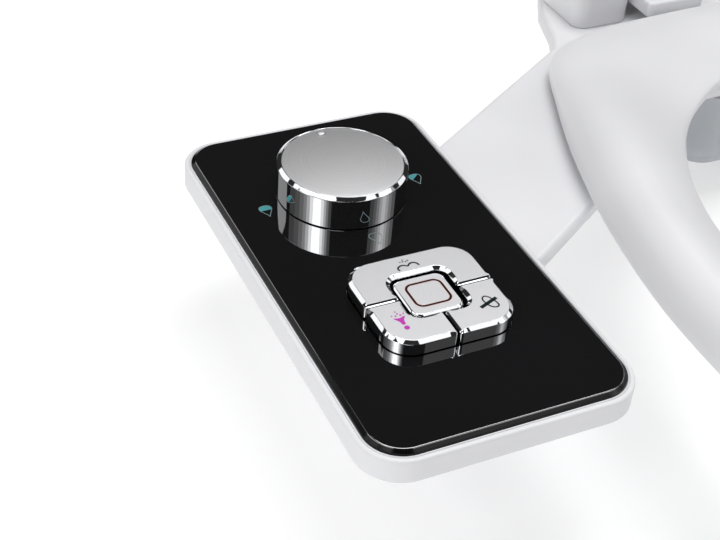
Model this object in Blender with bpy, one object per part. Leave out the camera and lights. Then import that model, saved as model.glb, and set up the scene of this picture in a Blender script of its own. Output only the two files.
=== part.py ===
"""Electric bidet seat: a control panel on an arm, a base plate with a nozzle unit, and a heated seat ring.

Row frame, metres: the origin is midway between the two seat bolts on the flat underside of the base plate,
+X runs to the sitting person's left, +Y to the back of the bowl, +Z up. Sizes below are in millimetres.
"""

import math

import bmesh
import bpy
from mathutils import Matrix, Vector

MM = 0.001
GAP = 0.3

# base plate and arm
BASE_TOP = 7.0
BASE_WALL = 2.0
BASE_ROOF = 1.8
COVER_THICK = 1.6
ARM_ANGLE = math.radians(32.4)
ARM_END_X = -205.7
ARM_FRONT_Y = -173.1
ARM_BACK_Y = -83.9
PLATE_FRONT_Y = -82.0
PLATE_REAR_Y = 38.0
PLATE_HALF = 112.0

# control panel
PANEL_X = (-317.0, -206.0)
PANEL_Y = (-255.0, -50.5)
PANEL_BOTTOM = -2.0
PANEL_RIM = 8.2
PANEL_RADIUS = 17.5
PANEL_WALL = 2.5
PANEL_ROOF = 5.0
RIM_WIDTH = 3.0
GLASS_TOP = 10.0
GLASS_BOTTOM = 8.0
GLASS_RADIUS = 15.5

INLET = (-232.0, -76.0)
GLAND = (-292.0, -76.0)

# cover screws and the anti-slip pad
SCREW_HEAD = 2.5
SCREW_SHANK = 1.2
BASE_SCREWS = [(-165.0, -70.0), (88.0, -45.0)]
PANEL_SCREWS = [(x, y) for x in (PANEL_X[0] + 12.0, PANEL_X[1] - 12.0) for y in (-240.0, -62.0)]
PAD_X = (-50.0, 50.0)
PAD_Y = (-14.0, 30.0)
PAD_RADIUS = 4.0
PAD_THICK = 0.7
PAD_POCKET = 1.0
CABLE_HOLE = (0.0, -60.0)
CABLE_HOLE_RADIUS = 6.0

# flow knob
KNOB = (-262.8, -105.8)
KNOB_RADIUS = 27.16
KNOB_FACE_RADIUS = 26.0
KNOB_SHOULDER = 23.5
KNOB_TOP = 24.36
KNOB_BOTTOM = 10.4
DISC_RADIUS = 24.9
DISC_BOTTOM = 23.5
STUD_PLACE = 22.3
STUD_RADIUS = 1.7
SHAFT_RADIUS = 5.0
SHAFT_HOLE = SHAFT_RADIUS + 1.5

# push keys: the cluster, its middle opening and the stop key in it
KEYS_X = (-287.8, -235.0)
KEYS_Y = (-209.5, -160.0)
KEYS_RADIUS = 11.5
KEY_SPLIT = (-262.0, -184.7)
KEY_GAP = 0.9
WELL_X = (-275.8, -248.5)
WELL_Y = (-197.0, -171.6)
WELL_RADIUS = 5.5
STOP_X = (-273.0, -252.4)
STOP_Y = (-195.0, -174.0)
STOP_RADIUS = 4.0
KEY_BOTTOM = 6.4
KEY_TOP = 16.4
STOP_TOP = 15.2
KEY_EDGE = 0.8
STEM_RADIUS = 2.5
STEM_BOTTOM = 3.2
KEY_STEMS = {
    "rear_wash_key": (-262.0, -165.6),
    "front_wash_key": (-279.5, -202.5),
    "clean_key": (-244.0, -202.5),
    "stop_key": (-262.6, -184.5),
}

# seat ring
SEAT_CENTRE = Vector((0.0, -230.0))
OPENING_HALF = 142.0
OPENING_REAR = 152.0
OPENING_FRONT = 154.0
RING_BOTTOM = 12.5
REAR_DROP = 0.42
DROP_Y = (-130.0, -40.0)
LUG_HEIGHT = (14.0, 22.0)
HINGE_Y = 4.0
HINGE_Z = 22.0
PIN_RADIUS = 3.0

# seat bolts
BOLT_X = 75.0
BOLT_RADIUS = 4.0
BOLT_BOTTOM = -58.0
BOLT_HEAD = 7.0
BOLT_HOLE = 5.2
FOOT_X = (58.0, 90.0)
FOOT_Y = (-13.0, 25.0)
FOOT_TOP = 29.0
BARREL_X = (20.0, 57.4)

# nozzle unit
HOUSING_HALF = 55.0
HOUSING_Y = (-78.5, -38.0)
HOUSING_BOTTOM = -36.0
NOZZLE_X = 11.0
NOZZLE_RADIUS = 4.5
NOZZLE_TILT = math.radians(40.0)
NOZZLE_TIP = Vector((0.0, -67.5, -33.0))
NOZZLE_LENGTH = 37.0
TIP_LENGTH = 9.0

DOWN_TILT = Vector((0.0, -math.sin(NOZZLE_TILT), -math.cos(NOZZLE_TILT)))


# ---------------------------------------------------------------- helpers

def clear_scene():
    for thing in list(bpy.data.objects):
        bpy.data.objects.remove(thing, do_unlink=True)


def make_material(name, colour, roughness, metallic=0.0):
    material = bpy.data.materials.new(name)
    material.use_nodes = True
    shader = material.node_tree.nodes["Principled BSDF"]
    shader.inputs["Base Color"].default_value = (*colour, 1.0)
    shader.inputs["Roughness"].default_value = roughness
    shader.inputs["Metallic"].default_value = metallic
    return material


def add_object(name, bm, material=None):
    """Put a bmesh drawn in millimetres into the scene as one object in metres."""
    bmesh.ops.remove_doubles(bm, verts=bm.verts, dist=0.002)
    bmesh.ops.recalc_face_normals(bm, faces=bm.faces)
    bmesh.ops.scale(bm, vec=(MM, MM, MM), verts=bm.verts)
    mesh = bpy.data.meshes.new(name)
    bm.to_mesh(mesh)
    bm.free()
    thing = bpy.data.objects.new(name, mesh)
    bpy.context.scene.collection.objects.link(thing)
    if material:
        mesh.materials.append(material)
    return thing


def set_origin(thing, point):
    """Move an object's origin to a point in millimetres without moving its mesh in the world."""
    place = Vector(point) * MM
    thing.data.transform(Matrix.Translation(-place))
    thing.location = place


def cut(target, bm):
    """Cut the closed bodies of a bmesh, in millimetres, out of an object."""
    cutter = add_object("cutter_" + target.name, bm)
    cutter.hide_render = True
    cutter.display_type = "WIRE"
    boolean = target.modifiers.new("cut", "BOOLEAN")
    boolean.operation = "DIFFERENCE"
    boolean.object = cutter
    boolean.solver = "EXACT"


def smooth(thing, degrees=40.0):
    thing.data.shade_smooth()
    thing.data.set_sharp_from_angle(angle=math.radians(degrees))


def rounded(corners, steps=5):
    """An outline from (x, y, radius) corners, with each corner turned into an arc."""
    outline = []
    count = len(corners)
    for i, (x, y, radius) in enumerate(corners):
        here = Vector((x, y))
        if radius <= 0.0:
            outline.append(here)
            continue
        to_last = (Vector(corners[i - 1][:2]) - here).normalized()
        to_next = (Vector(corners[(i + 1) % count][:2]) - here).normalized()
        half = to_last.angle(to_next) / 2.0
        start = here + to_last * radius / math.tan(half)
        end = here + to_next * radius / math.tan(half)
        centre = here + (to_last + to_next).normalized() * radius / math.sin(half)
        first = (start - centre).to_2d()
        sweep = first.angle_signed((end - centre).to_2d())
        for k in range(steps + 1):
            outline.append(centre + Matrix.Rotation(-sweep * k / steps, 2) @ first)
    return outline


def rectangle(x, y, radius=0.0):
    return rounded([(x[0], y[0], radius), (x[1], y[0], radius), (x[1], y[1], radius), (x[0], y[1], radius)])


def circle(centre, radius, steps=20):
    turn = [2.0 * math.pi * k / steps for k in range(steps)]
    return [Vector((centre[0] + radius * math.cos(a), centre[1] + radius * math.sin(a))) for a in turn]


def inset(outline, distance):
    """An outline moved inwards by a distance, for a counter-clockwise outline."""
    moved = []
    count = len(outline)
    for i, point in enumerate(outline):
        before = (point - outline[i - 1]).normalized()
        after = (outline[(i + 1) % count] - point).normalized()
        normal = Vector((-(before.y + after.y), before.x + after.x)).normalized()
        lean = max(0.3, normal.dot(Vector((-before.y, before.x))))
        moved.append(point + normal * distance / lean)
    return moved


def prism(bm, outline, low, high):
    """Add a closed prism that stands on an outline between two heights."""
    face = bm.faces.new([bm.verts.new((p.x, p.y, low)) for p in outline])
    raised = bmesh.ops.extrude_face_region(bm, geom=[face])
    top = [item for item in raised["geom"] if isinstance(item, bmesh.types.BMVert)]
    bmesh.ops.translate(bm, vec=(0.0, 0.0, high - low), verts=top)


def prisms(*parts):
    bm = bmesh.new()
    for outline, low, high in parts:
        prism(bm, outline, low, high)
    return bm


def loft(levels):
    """A closed body from outlines at rising heights, capped at both ends."""
    bm = bmesh.new()
    rings = [[bm.verts.new((p.x, p.y, height)) for p in outline] for outline, height in levels]
    for lower, upper in zip(rings, rings[1:]):
        join_rings(bm, lower, upper)
    bm.faces.new(rings[0])
    bm.faces.new(rings[-1])
    return bm


def join_rings(bm, one, other):
    """Close the band between two rings of equally many vertices with four-sided faces."""
    for i in range(len(one)):
        bm.faces.new((one[i - 1], one[i], other[i], other[i - 1]))


def lathe(profile, centre, steps=32):
    """A closed body of revolution about a vertical line from (radius, height) points."""
    bm = bmesh.new()
    verts = [bm.verts.new((centre[0] + r, centre[1], z)) for r, z in profile]
    edges = [bm.edges.new((verts[i - 1], verts[i])) for i in range(len(verts))]
    bmesh.ops.spin(
        bm,
        geom=verts + edges,
        cent=(centre[0], centre[1], 0.0),
        axis=(0.0, 0.0, 1.0),
        angle=2.0 * math.pi,
        steps=steps,
        use_merge=True,
    )
    return bm


def rod(bm, start, end, radius, steps=20):
    """Add a closed cylinder between two points."""
    start = Vector(start)
    run = Vector(end) - start
    turn = run.to_track_quat("Z", "Y").to_matrix().to_4x4()
    place = Matrix.Translation(start + run / 2.0) @ turn
    bmesh.ops.create_cone(
        bm,
        cap_ends=True,
        segments=steps,
        radius1=radius,
        radius2=radius,
        depth=run.length,
        matrix=place,
    )


def rods(*parts, steps=20):
    bm = bmesh.new()
    for start, end, radius in parts:
        rod(bm, start, end, radius, steps)
    return bm


def tube(name, points, radius, material):
    """A thin hose or cable along a short list of points, in millimetres."""
    curve = bpy.data.curves.new(name, "CURVE")
    curve.dimensions = "3D"
    curve.bevel_depth = radius * MM
    curve.bevel_resolution = 2
    curve.use_fill_caps = True
    line = curve.splines.new("POLY")
    line.points.add(len(points) - 1)
    for knot, point in zip(line.points, points):
        knot.co = (*(Vector(point) * MM), 1.0)
    curve.materials.append(material)
    thing = bpy.data.objects.new(name, curve)
    bpy.context.scene.collection.objects.link(thing)
    return thing


# ---------------------------------------------------------------- outlines

def base_outline():
    """Arm and base plate: the arm runs at a slant from the panel into the plate behind the opening."""
    meet_x = ARM_END_X + (PLATE_FRONT_Y - ARM_FRONT_Y) / math.tan(ARM_ANGLE)
    shoulder_x = -110.5
    shoulder_y = ARM_BACK_Y + (shoulder_x - ARM_END_X) * math.tan(ARM_ANGLE)
    return rounded([
        (ARM_END_X, ARM_FRONT_Y, 0.0),
        (meet_x, PLATE_FRONT_Y, 30.0),
        (62.0, PLATE_FRONT_Y, 14.0),
        (PLATE_HALF, -48.0, 22.0),
        (105.0, -12.0, 16.0),
        (97.0, 12.0, 24.0),
        (82.0, PLATE_REAR_Y, 12.0),
        (-82.0, PLATE_REAR_Y, 12.0),
        (-97.0, 12.0, 20.0),
        (-104.5, -12.0, 12.0),
        (shoulder_x, shoulder_y, 5.0),
        (ARM_END_X, ARM_BACK_Y, 0.0),
    ])


def seat_outline():
    """Outside of the seat ring: a smooth closed curve through a few points of its left half, mirrored."""
    left = [(0, -25), (-52, -26), (-96, -30), (-126, -46), (-143, -80), (-160, -125), (-174, -178)]
    left += [(-182, -236), (-179, -298), (-163, -356), (-131, -408), (-76, -442), (0, -452)]
    knots = [Vector(p) for p in left]
    knots += [Vector((-x, y)) for x, y in reversed(left[1:-1])]
    count = len(knots)
    curve = []
    for i in range(count):
        a, b, c, d = (knots[(i + k - 1) % count] for k in range(4))
        for t in (0.0, 0.5):
            bend = (2.0 * a - 5.0 * b + 4.0 * c - d) * t * t
            twist = (3.0 * b - 3.0 * c + d - a) * t ** 3
            curve.append((2.0 * b + (c - a) * t + bend + twist) / 2.0)
    return curve


def opening_point(outer):
    """The point of the seat's oval opening that lies towards an outer point."""
    ray = (outer - SEAT_CENTRE).normalized()
    deep = OPENING_REAR if ray.y > 0.0 else OPENING_FRONT
    reach = OPENING_HALF * deep / math.hypot(deep * ray.x, OPENING_HALF * ray.y)
    return SEAT_CENTRE + ray * reach


def lowered(height, y):
    """A height on the seat ring, which gets lower towards the hinges."""
    share = min(1.0, max(0.0, (y - DROP_Y[0]) / (DROP_Y[1] - DROP_Y[0])))
    eased = share * share * (3.0 - 2.0 * share)
    return RING_BOTTOM + (height - RING_BOTTOM) * (1.0 - REAR_DROP * eased)


def ring_body(name, section, material):
    """A closed ring from (share of the ring's width, height) section points."""
    outer = seat_outline()
    inner = [opening_point(p) for p in outer]
    bm = bmesh.new()
    rings = []
    for share, height in section:
        ring = []
        for a, b in zip(outer, inner):
            spot = a.lerp(b, share)
            ring.append(bm.verts.new((spot.x, spot.y, lowered(height, a.y))))
        rings.append(ring)
    for i in range(len(rings)):
        join_rings(bm, rings[i - 1], rings[i])
    thing = add_object(name, bm, material)
    smooth(thing)
    return thing


# ---------------------------------------------------------------- base and arm

def slot_box():
    """The way through the panel's side and the arm's end for link plates, tubes and cable."""
    return prisms((rectangle((-211.0, -202.0), (-162.0, -88.0)), 1.9, 4.9))


def base_shell(white):
    outline = base_outline()
    hollow = inset(outline, BASE_WALL)
    shell = add_object("base_shell", prisms((outline, 0.0, BASE_TOP)), white)
    cut(shell, prisms((hollow, -1.0, BASE_TOP - BASE_ROOF)))
    cut(shell, slot_box())
    cut(shell, bolt_holes(BASE_TOP + 1.0))


def bolt_holes(top):
    """The two ways through the base for the seat bolts."""
    return rods(*[((s * BOLT_X, 0.0, -1.0), (s * BOLT_X, 0.0, top), BOLT_HOLE) for s in (-1, 1)])


def base_cover(white, steel):
    outline = inset(base_outline(), BASE_WALL + GAP)
    cover = add_object("base_bottom_cover", prisms((outline, 0.0, COVER_THICK)), white)
    cut_screw_holes(cover, BASE_SCREWS, 0.0, COVER_THICK)
    cut(cover, bolt_holes(COVER_THICK + 1.0))
    cut(cover, prisms((rectangle(PAD_X, PAD_Y, PAD_RADIUS), -1.0, PAD_POCKET)))
    cut(cover, rods(((*CABLE_HOLE, -1.0), (*CABLE_HOLE, COVER_THICK + 1.0), CABLE_HOLE_RADIUS)))
    for i, place in enumerate(BASE_SCREWS):
        screw(f"base_screw_{i + 1}", place, 0.0, 4.6, steel)


def cut_screw_holes(cover, places, bottom, thickness):
    """Countersunk holes: a wide pocket for each head and a narrow way through for its shank."""
    deep = bottom + 0.9
    cut(cover, rods(*[((x, y, bottom - 1.0), (x, y, deep), SCREW_HEAD + GAP) for x, y in places]))
    top = bottom + thickness + 1.0
    cut(cover, rods(*[((x, y, bottom - 1.0), (x, y, top), SCREW_SHANK + GAP) for x, y in places], steps=12))


def screw(name, place, bottom, top, steel):
    profile = [(0.0, bottom + 0.1), (SCREW_HEAD, bottom + 0.1), (SCREW_HEAD, bottom + 0.6)]
    profile += [(SCREW_SHANK, bottom + 0.6), (SCREW_SHANK, top), (0.0, top)]
    smooth(add_object(name, lathe(profile, place, 16), steel))


def grip_pad(rubber):
    x = (PAD_X[0] + GAP, PAD_X[1] - GAP)
    y = (PAD_Y[0] + GAP, PAD_Y[1] - GAP)
    add_object("grip_pad", prisms((rectangle(x, y, PAD_RADIUS - GAP), 0.0, PAD_THICK)), rubber)


def link_plate(steel):
    """The steel strap that joins the arm to the panel through the slot in their walls."""
    strap = rectangle((-228.0, -190.0), (-156.0, -144.0), 2.0)
    add_object("link_plate", prisms((strap, 2.2, 3.6)), steel)


def supply_lines(clear, grey):
    """Two wash tubes and one cable from the panel through the arm to the nozzle unit."""
    tube("rear_wash_tube", [(-232.0, -132.0, 3.4), (-200.0, -130.0, 3.4), (-150.0, -100.0, 3.4),
                            (-60.0, -50.0, 3.4), (-14.0, -52.0, 3.4)], 1.3, clear)
    tube("front_wash_tube", [(-232.0, -138.0, 3.4), (-198.0, -136.0, 3.4), (-140.0, -101.0, 3.4),
                             (-60.0, -57.0, 3.4), (-14.0, -60.0, 3.4)], 1.3, clear)
    tube("ribbon_cable", [(-232.0, -122.0, 3.4), (-200.0, -120.0, 3.4), (-150.0, -92.0, 3.4),
                          (-60.0, -42.0, 3.4), (-14.0, -38.0, 3.4)], 1.2, grey)


# ---------------------------------------------------------------- control panel

def panel_housing(white):
    outline = rectangle(PANEL_X, PANEL_Y, PANEL_RADIUS)
    levels = [(inset(outline, 1.0), PANEL_BOTTOM), (outline, PANEL_BOTTOM + 1.0)]
    levels += [(outline, PANEL_RIM - 1.5), (inset(outline, 0.45), PANEL_RIM - 0.45)]
    levels += [(inset(outline, 1.5), PANEL_RIM)]
    housing = add_object("panel_housing", loft(levels), white)
    cut(housing, prisms((inset(outline, PANEL_WALL), PANEL_BOTTOM - 1.0, PANEL_ROOF)))
    cut(housing, prisms((inset(outline, RIM_WIDTH - GAP), 7.0, PANEL_RIM + 1.0)))
    cut(housing, slot_box())
    cut_panel_openings(housing, 3.0, 9.0)
    smooth(housing)


def cut_panel_openings(thing, low, high):
    """The round opening for the knob's shaft and the square one for the keys."""
    cut(thing, rods(((*KNOB, low), (*KNOB, high), SHAFT_HOLE), steps=32))
    cut(thing, prisms((key_well(0.5), low, high)))


def key_well(margin):
    x = (KEYS_X[0] - margin, KEYS_X[1] + margin)
    y = (KEYS_Y[0] - margin, KEYS_Y[1] + margin)
    return rectangle(x, y, KEYS_RADIUS + margin)


def panel_cover(white, steel):
    outline = inset(rectangle(PANEL_X, PANEL_Y, PANEL_RADIUS), PANEL_WALL + GAP)
    cover = add_object("panel_bottom_cover", prisms((outline, PANEL_BOTTOM, -0.4)), white)
    cut_screw_holes(cover, PANEL_SCREWS, PANEL_BOTTOM, 1.6)
    cut(cover, rods(((*INLET, -3.0), (*INLET, 1.0), 7.3), ((*GLAND, -3.0), (*GLAND, 1.0), 5.3)))
    for i, place in enumerate(PANEL_SCREWS):
        screw(f"panel_screw_{i + 1}", place, PANEL_BOTTOM, 4.4, steel)


def inlets(white, steel, black):
    """The threaded water inlet with its filter disc, and the gland for the power cord, under the panel."""
    port = [(7.0, 1.2), (4.6, 1.2), (4.6, -14.4), (8.2, -14.4), (8.8, -13.8), (8.8, -5.6)]
    port += [(9.8, -5.0), (9.8, -2.6), (7.0, -2.6)]
    smooth(add_object("water_inlet_port", lathe(port, INLET, 24), white), 30.0)
    disc = [(4.2, -9.4), (0.9, -9.4), (0.9, -10.6), (4.2, -10.6)]
    add_object("inlet_filter", lathe(disc, INLET, 20), steel)
    gland = [(5.0, 1.2), (3.2, 1.2), (3.2, -9.0), (4.6, -9.0), (5.4, -7.6), (6.6, -2.6), (5.0, -2.6)]
    smooth(add_object("power_gland", lathe(gland, GLAND, 24), black), 30.0)


def glass_and_gasket(glass, black):
    frame = inset(rectangle(PANEL_X, PANEL_Y, PANEL_RADIUS), RIM_WIDTH)
    bm = loft([(frame, GLASS_BOTTOM), (frame, GLASS_TOP - 1.2), (inset(frame, 0.8), GLASS_TOP)])
    sheet = add_object("glass_top", bm, glass)
    cut_panel_openings(sheet, 7.0, 11.0)
    gasket = add_object("glass_gasket", prisms((inset(frame, 0.5), 7.3, 7.7)), black)
    cut(gasket, prisms((inset(frame, 4.0), 7.0, 8.0)))


def knob_parts(chrome, satin, black, white):
    shell = [(KNOB_RADIUS, KNOB_BOTTOM), (KNOB_RADIUS, KNOB_SHOULDER), (KNOB_FACE_RADIUS, KNOB_TOP)]
    shell += [(25.2, KNOB_TOP), (25.2, 23.2), (SHAFT_RADIUS + GAP, 23.2), (SHAFT_RADIUS + GAP, 21.2)]
    shell += [(25.4, 21.2), (25.4, KNOB_BOTTOM)]
    body = add_object("knob_shell", lathe(shell, KNOB, 40), chrome)
    plate = rods(((*KNOB, DISC_BOTTOM), (*KNOB, KNOB_TOP), DISC_RADIUS), steps=48)
    top = add_object("knob_top_disc", plate, satin)
    spot = (KNOB[0], KNOB[1] + STUD_PLACE)
    cut(top, prisms((circle(spot, STUD_RADIUS + GAP), 22.0, 26.0)))
    stud = prisms((circle(spot, STUD_RADIUS), DISC_BOTTOM, KNOB_TOP + 0.5))
    pointer = add_object("knob_pointer", stud, chrome)
    rim = [(SHAFT_RADIUS, 2.6), (SHAFT_RADIUS, 19.8), (9.0, 19.8), (9.0, 20.9)]
    rim += [(SHAFT_RADIUS, 20.9), (SHAFT_RADIUS, 23.1), (1.2, 23.1), (1.2, 2.6)]
    shaft = add_object("valve_shaft", lathe(rim, KNOB, 24), black)
    for thing in (body, top, pointer, shaft):
        smooth(thing)
        set_origin(thing, (*KNOB, 10.0))
    valve = [(20.0, 0.2), (20.0, 4.6), (SHAFT_RADIUS + GAP, 4.6), (SHAFT_RADIUS + GAP, 2.2), (1.2, 2.2)]
    valve += [(1.2, 0.2)]
    smooth(add_object("flow_valve_body", lathe(valve, KNOB, 32), white))


def key_block(name, x, y, corners, top, material):
    """One key cap: a block with its own corner radii and a small sloped edge round its face."""
    outline = rounded([(x[0], y[0], corners[0]), (x[1], y[0], corners[1]),
                       (x[1], y[1], corners[2]), (x[0], y[1], corners[3])])
    bm = loft([(outline, KEY_BOTTOM), (outline, top - KEY_EDGE), (inset(outline, KEY_EDGE), top)])
    return add_object(name, bm, material)


def keys(satin):
    half = KEY_GAP / 2.0
    well = rectangle(WELL_X, WELL_Y, WELL_RADIUS)
    split_x, split_y = KEY_SPLIT
    sharp = 1.0
    caps = {
        "rear_wash_key": (KEYS_X, (split_y + half, KEYS_Y[1]), (sharp, sharp, KEYS_RADIUS, KEYS_RADIUS)),
        "front_wash_key": ((KEYS_X[0], split_x - half), (KEYS_Y[0], split_y - half),
                           (KEYS_RADIUS, sharp, sharp, sharp)),
        "clean_key": ((split_x + half, KEYS_X[1]), (KEYS_Y[0], split_y - half),
                      (sharp, KEYS_RADIUS, sharp, sharp)),
    }
    for name, (x, y, corners) in caps.items():
        cap = key_block(name, x, y, corners, KEY_TOP, satin)
        cut(cap, prisms((well, KEY_BOTTOM - 1.0, KEY_TOP + 1.0)))
        add_stem(cap, KEY_STEMS[name])
    stop = key_block("stop_key", STOP_X, STOP_Y, (STOP_RADIUS,) * 4, STOP_TOP, satin)
    add_stem(stop, KEY_STEMS["stop_key"])


def join(thing, bm, name):
    """Join a closed body to an object with a Boolean union."""
    other = add_object(name, bm)
    other.hide_render = True
    other.display_type = "WIRE"
    union = thing.modifiers.new("join", "BOOLEAN")
    union.operation = "UNION"
    union.object = other
    union.solver = "EXACT"


def add_stem(cap, place):
    """The stem moulded under a key cap, which presses its switch dome."""
    stem = rods(((*place, STEM_BOTTOM), (*place, KEY_BOTTOM + 2.0), STEM_RADIUS), steps=16)
    join(cap, stem, "stem_" + cap.name)


def key_electronics(black, green, grey):
    places = KEY_STEMS.values()
    plate = add_object("key_guide_plate", prisms((key_well(3.0), 3.6, 4.7)), black)
    cut(plate, rods(*[((x, y, 2.0), (x, y, 6.0), STEM_RADIUS + GAP) for x, y in places], steps=16))
    add_object("circuit_board", prisms((key_well(2.0), -0.1, 1.0)), green)
    sheet = add_object("switch_sheet", prisms((key_well(1.0), 1.3, 1.5)), grey)
    cut(sheet, prisms((rectangle((-270.0, -254.0), (-179.0, -170.5)), 1.0, 2.0)))


# ---------------------------------------------------------------- nozzle unit

def nozzle_unit(white, grey, brass):
    x = (-HOUSING_HALF, HOUSING_HALF)
    box = rectangle(x, HOUSING_Y, 12.0)
    low = rectangle((x[0] + 3.0, x[1] - 3.0), (HOUSING_Y[0] + 1.0, HOUSING_Y[1] - 3.0), 10.0)
    levels = [(low, HOUSING_BOTTOM), (box, HOUSING_BOTTOM + 8.0), (box, -GAP)]
    housing = add_object("nozzle_housing", loft(levels), white)
    hollow = [(inset(low, 2.0), HOUSING_BOTTOM + 2.0), (inset(box, 2.0), HOUSING_BOTTOM + 8.0)]
    cut(housing, loft(hollow + [(inset(box, 2.0), 1.0)]))
    cut(housing, prisms((rectangle((-20.0, 20.0), (-76.4, -56.0), 3.0), -40.0, -30.0)))
    block = rectangle((-24.0, 24.0), (-75.0, -44.5), 3.0)
    cradle = add_object("nozzle_cradle", prisms((block, -33.0, -3.0)), grey)
    top = NOZZLE_TIP - DOWN_TILT * (NOZZLE_LENGTH + 30.0)
    low_end = NOZZLE_TIP + DOWN_TILT * 20.0
    shift = Vector((NOZZLE_X, 0.0, 0.0))
    bores = [(top + s * shift, low_end + s * shift, NOZZLE_RADIUS + GAP) for s in (-1, 1)]
    cut(cradle, rods(*bores))
    for name, side in (("rear", 1), ("front", -1)):
        tip = NOZZLE_TIP + side * shift
        joint = tip - DOWN_TILT * TIP_LENGTH
        head = add_object("nozzle_" + name + "_tip", rods((joint, tip, NOZZLE_RADIUS)), grey)
        spray = tip - DOWN_TILT * 4.0
        across = Vector((0.0, -math.cos(NOZZLE_TILT), math.sin(NOZZLE_TILT)))
        cut(head, rods((spray + across * 2.0, spray + across * 8.0, 1.0), steps=10))
        back = tip - DOWN_TILT * NOZZLE_LENGTH
        pipe = rods((joint - DOWN_TILT * GAP, back, NOZZLE_RADIUS))
        stem = add_object("nozzle_" + name + "_tube", pipe, white)
        cut(stem, rods((back - DOWN_TILT * 2.0, joint - DOWN_TILT * 3.0, 2.4), steps=14))
        smooth(head)
        smooth(stem)
    for name, side in (("left", -1), ("right", 1)):
        coil = rods(((side * 39.0, -64.0, -18.0), (side * 39.0, -42.0, -18.0), 8.5))
        smooth(add_object("solenoid_valve_" + name, coil, brass))


def nozzle_guard(clear):
    """A thin curved flap in front of the housing, hung on a bar at its top edge, with a lip below."""
    front = HOUSING_Y[0] - 3.2
    outline = rounded([(-57.5, front, 14.0), (57.5, front, 14.0), (57.5, -58.0, 0.0), (55.7, -58.0, 0.0),
                       (55.7, front + 1.8, 12.4), (-55.7, front + 1.8, 12.4), (-55.7, -58.0, 0.0),
                       (-57.5, -58.0, 0.0)])
    guard = add_object("nozzle_guard", prisms((outline, -40.0, -2.0)), clear)
    set_origin(guard, (0.0, HOUSING_Y[0] - 2.3, -3.0))


# ---------------------------------------------------------------- seat and hinges

def seat(white, grey, amber, rubber):
    skin = [(0.0, RING_BOTTOM), (0.015, 18.0), (0.08, 24.0), (0.2, 29.5), (0.36, 32.0), (0.52, 32.0)]
    skin += [(0.72, 29.6), (0.9, 25.6), (1.0, 20.5), (0.995, RING_BOTTOM)]
    inside = [(0.93, RING_BOTTOM), (0.92, 20.0), (0.6, 28.2), (0.36, 29.0), (0.1, 20.0), (0.07, RING_BOTTOM)]
    ring_body("seat_ring_top", skin + inside, white)
    ring_body("seat_ring_base", [(0.09, 12.2), (0.09, 14.4), (0.9, 14.4), (0.9, 12.2)], grey)
    ring_body("seat_heater", [(0.36, 27.4), (0.36, 28.4), (0.58, 27.4), (0.58, 26.4)], amber)
    outer = seat_outline()
    for i, k in enumerate((13, 21, 27, 35)):
        point = outer[k].lerp(opening_point(outer[k]), 0.5)
        add_object(f"seat_bumper_{i + 1}", prisms((circle(point, 9.0, 20), 0.0, 11.9)), rubber)


def hinges(white, steel, grey, rubber):
    for name, side in (("left", -1), ("right", 1)):
        x = sorted(side * v for v in FOOT_X)
        outline = rectangle(x, FOOT_Y, 7.0)
        levels = [(outline, BASE_TOP + GAP), (outline, FOOT_TOP - 5.0), (inset(outline, 3.0), FOOT_TOP)]
        foot = add_object("hinge_foot_" + name, loft(levels), white)
        socket = [(side * 54.0, HINGE_Y, HINGE_Z), (side * 68.0, HINGE_Y, HINGE_Z), PIN_RADIUS + GAP]
        cut(foot, rods(socket))
        cut(foot, rods(((side * BOLT_X, 0.0, 5.0), (side * BOLT_X, 0.0, 12.0), BOLT_HEAD + GAP), steps=6))
        smooth(foot, 50.0)
        barrel(name, side, white)
        pin = rods(((side * 24.0, HINGE_Y, HINGE_Z), (side * 67.0, HINGE_Y, HINGE_Z), PIN_RADIUS))
        smooth(add_object("hinge_pin_" + name, pin, steel))
        fixings(name, (side * BOLT_X, 0.0), grey, rubber)


def barrel(name, side, white):
    """A hinge barrel on the seat: a round sleeve on the pin with a flat lug that meets the ring."""
    x = sorted(side * v for v in BARREL_X)
    ends = [(v, HINGE_Y, HINGE_Z) for v in x]
    sleeve = add_object("hinge_barrel_" + name, rods((*ends, 10.0), steps=28), white)
    lug = prisms((rectangle((x[0] + 2.0, x[1] - 2.0), (-24.2, HINGE_Y)), *LUG_HEIGHT))
    join(sleeve, lug, "lug_" + name)
    bore = ((side * 22.0, HINGE_Y, HINGE_Z), (side * 60.0, HINGE_Y, HINGE_Z), PIN_RADIUS + GAP)
    cut(sleeve, rods(bore))
    set_origin(sleeve, (0.0, HINGE_Y, HINGE_Z))
    smooth(sleeve, 50.0)


def fixings(name, middle, grey, rubber):
    """A seat bolt with its rubber cone and wing nut, which clamp the base to the bowl."""
    head = rods(((*middle, 7.6), (*middle, 11.4), BOLT_HEAD), steps=6)
    bolt = add_object("seat_bolt_" + name, head, grey)
    shank = rods(((*middle, BOLT_BOTTOM), (*middle, 9.0), BOLT_RADIUS))
    join(bolt, shank, "bolt_shank_" + name)
    bore = BOLT_RADIUS + GAP
    cone = [(bore, -34.0), (13.0, -34.0), (13.0, -31.0), (7.0, -24.0), (bore, -24.0)]
    smooth(add_object("bolt_cone_" + name, lathe(cone, middle, 24), rubber))
    nut = add_object("wing_nut_" + name, lathe([(bore, -44.0), (9.0, -44.0), (10.0, -34.4), (bore, -34.4)],
                                               middle, 24), grey)
    for side in (-1, 1):
        wing = rectangle(sorted((middle[0] + side * 7.0, middle[0] + side * 19.0)), (-2.0, 2.0), 1.0)
        join(nut, prisms((wing, -50.0, -37.0)), f"wing_{name}_{side}")


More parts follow.
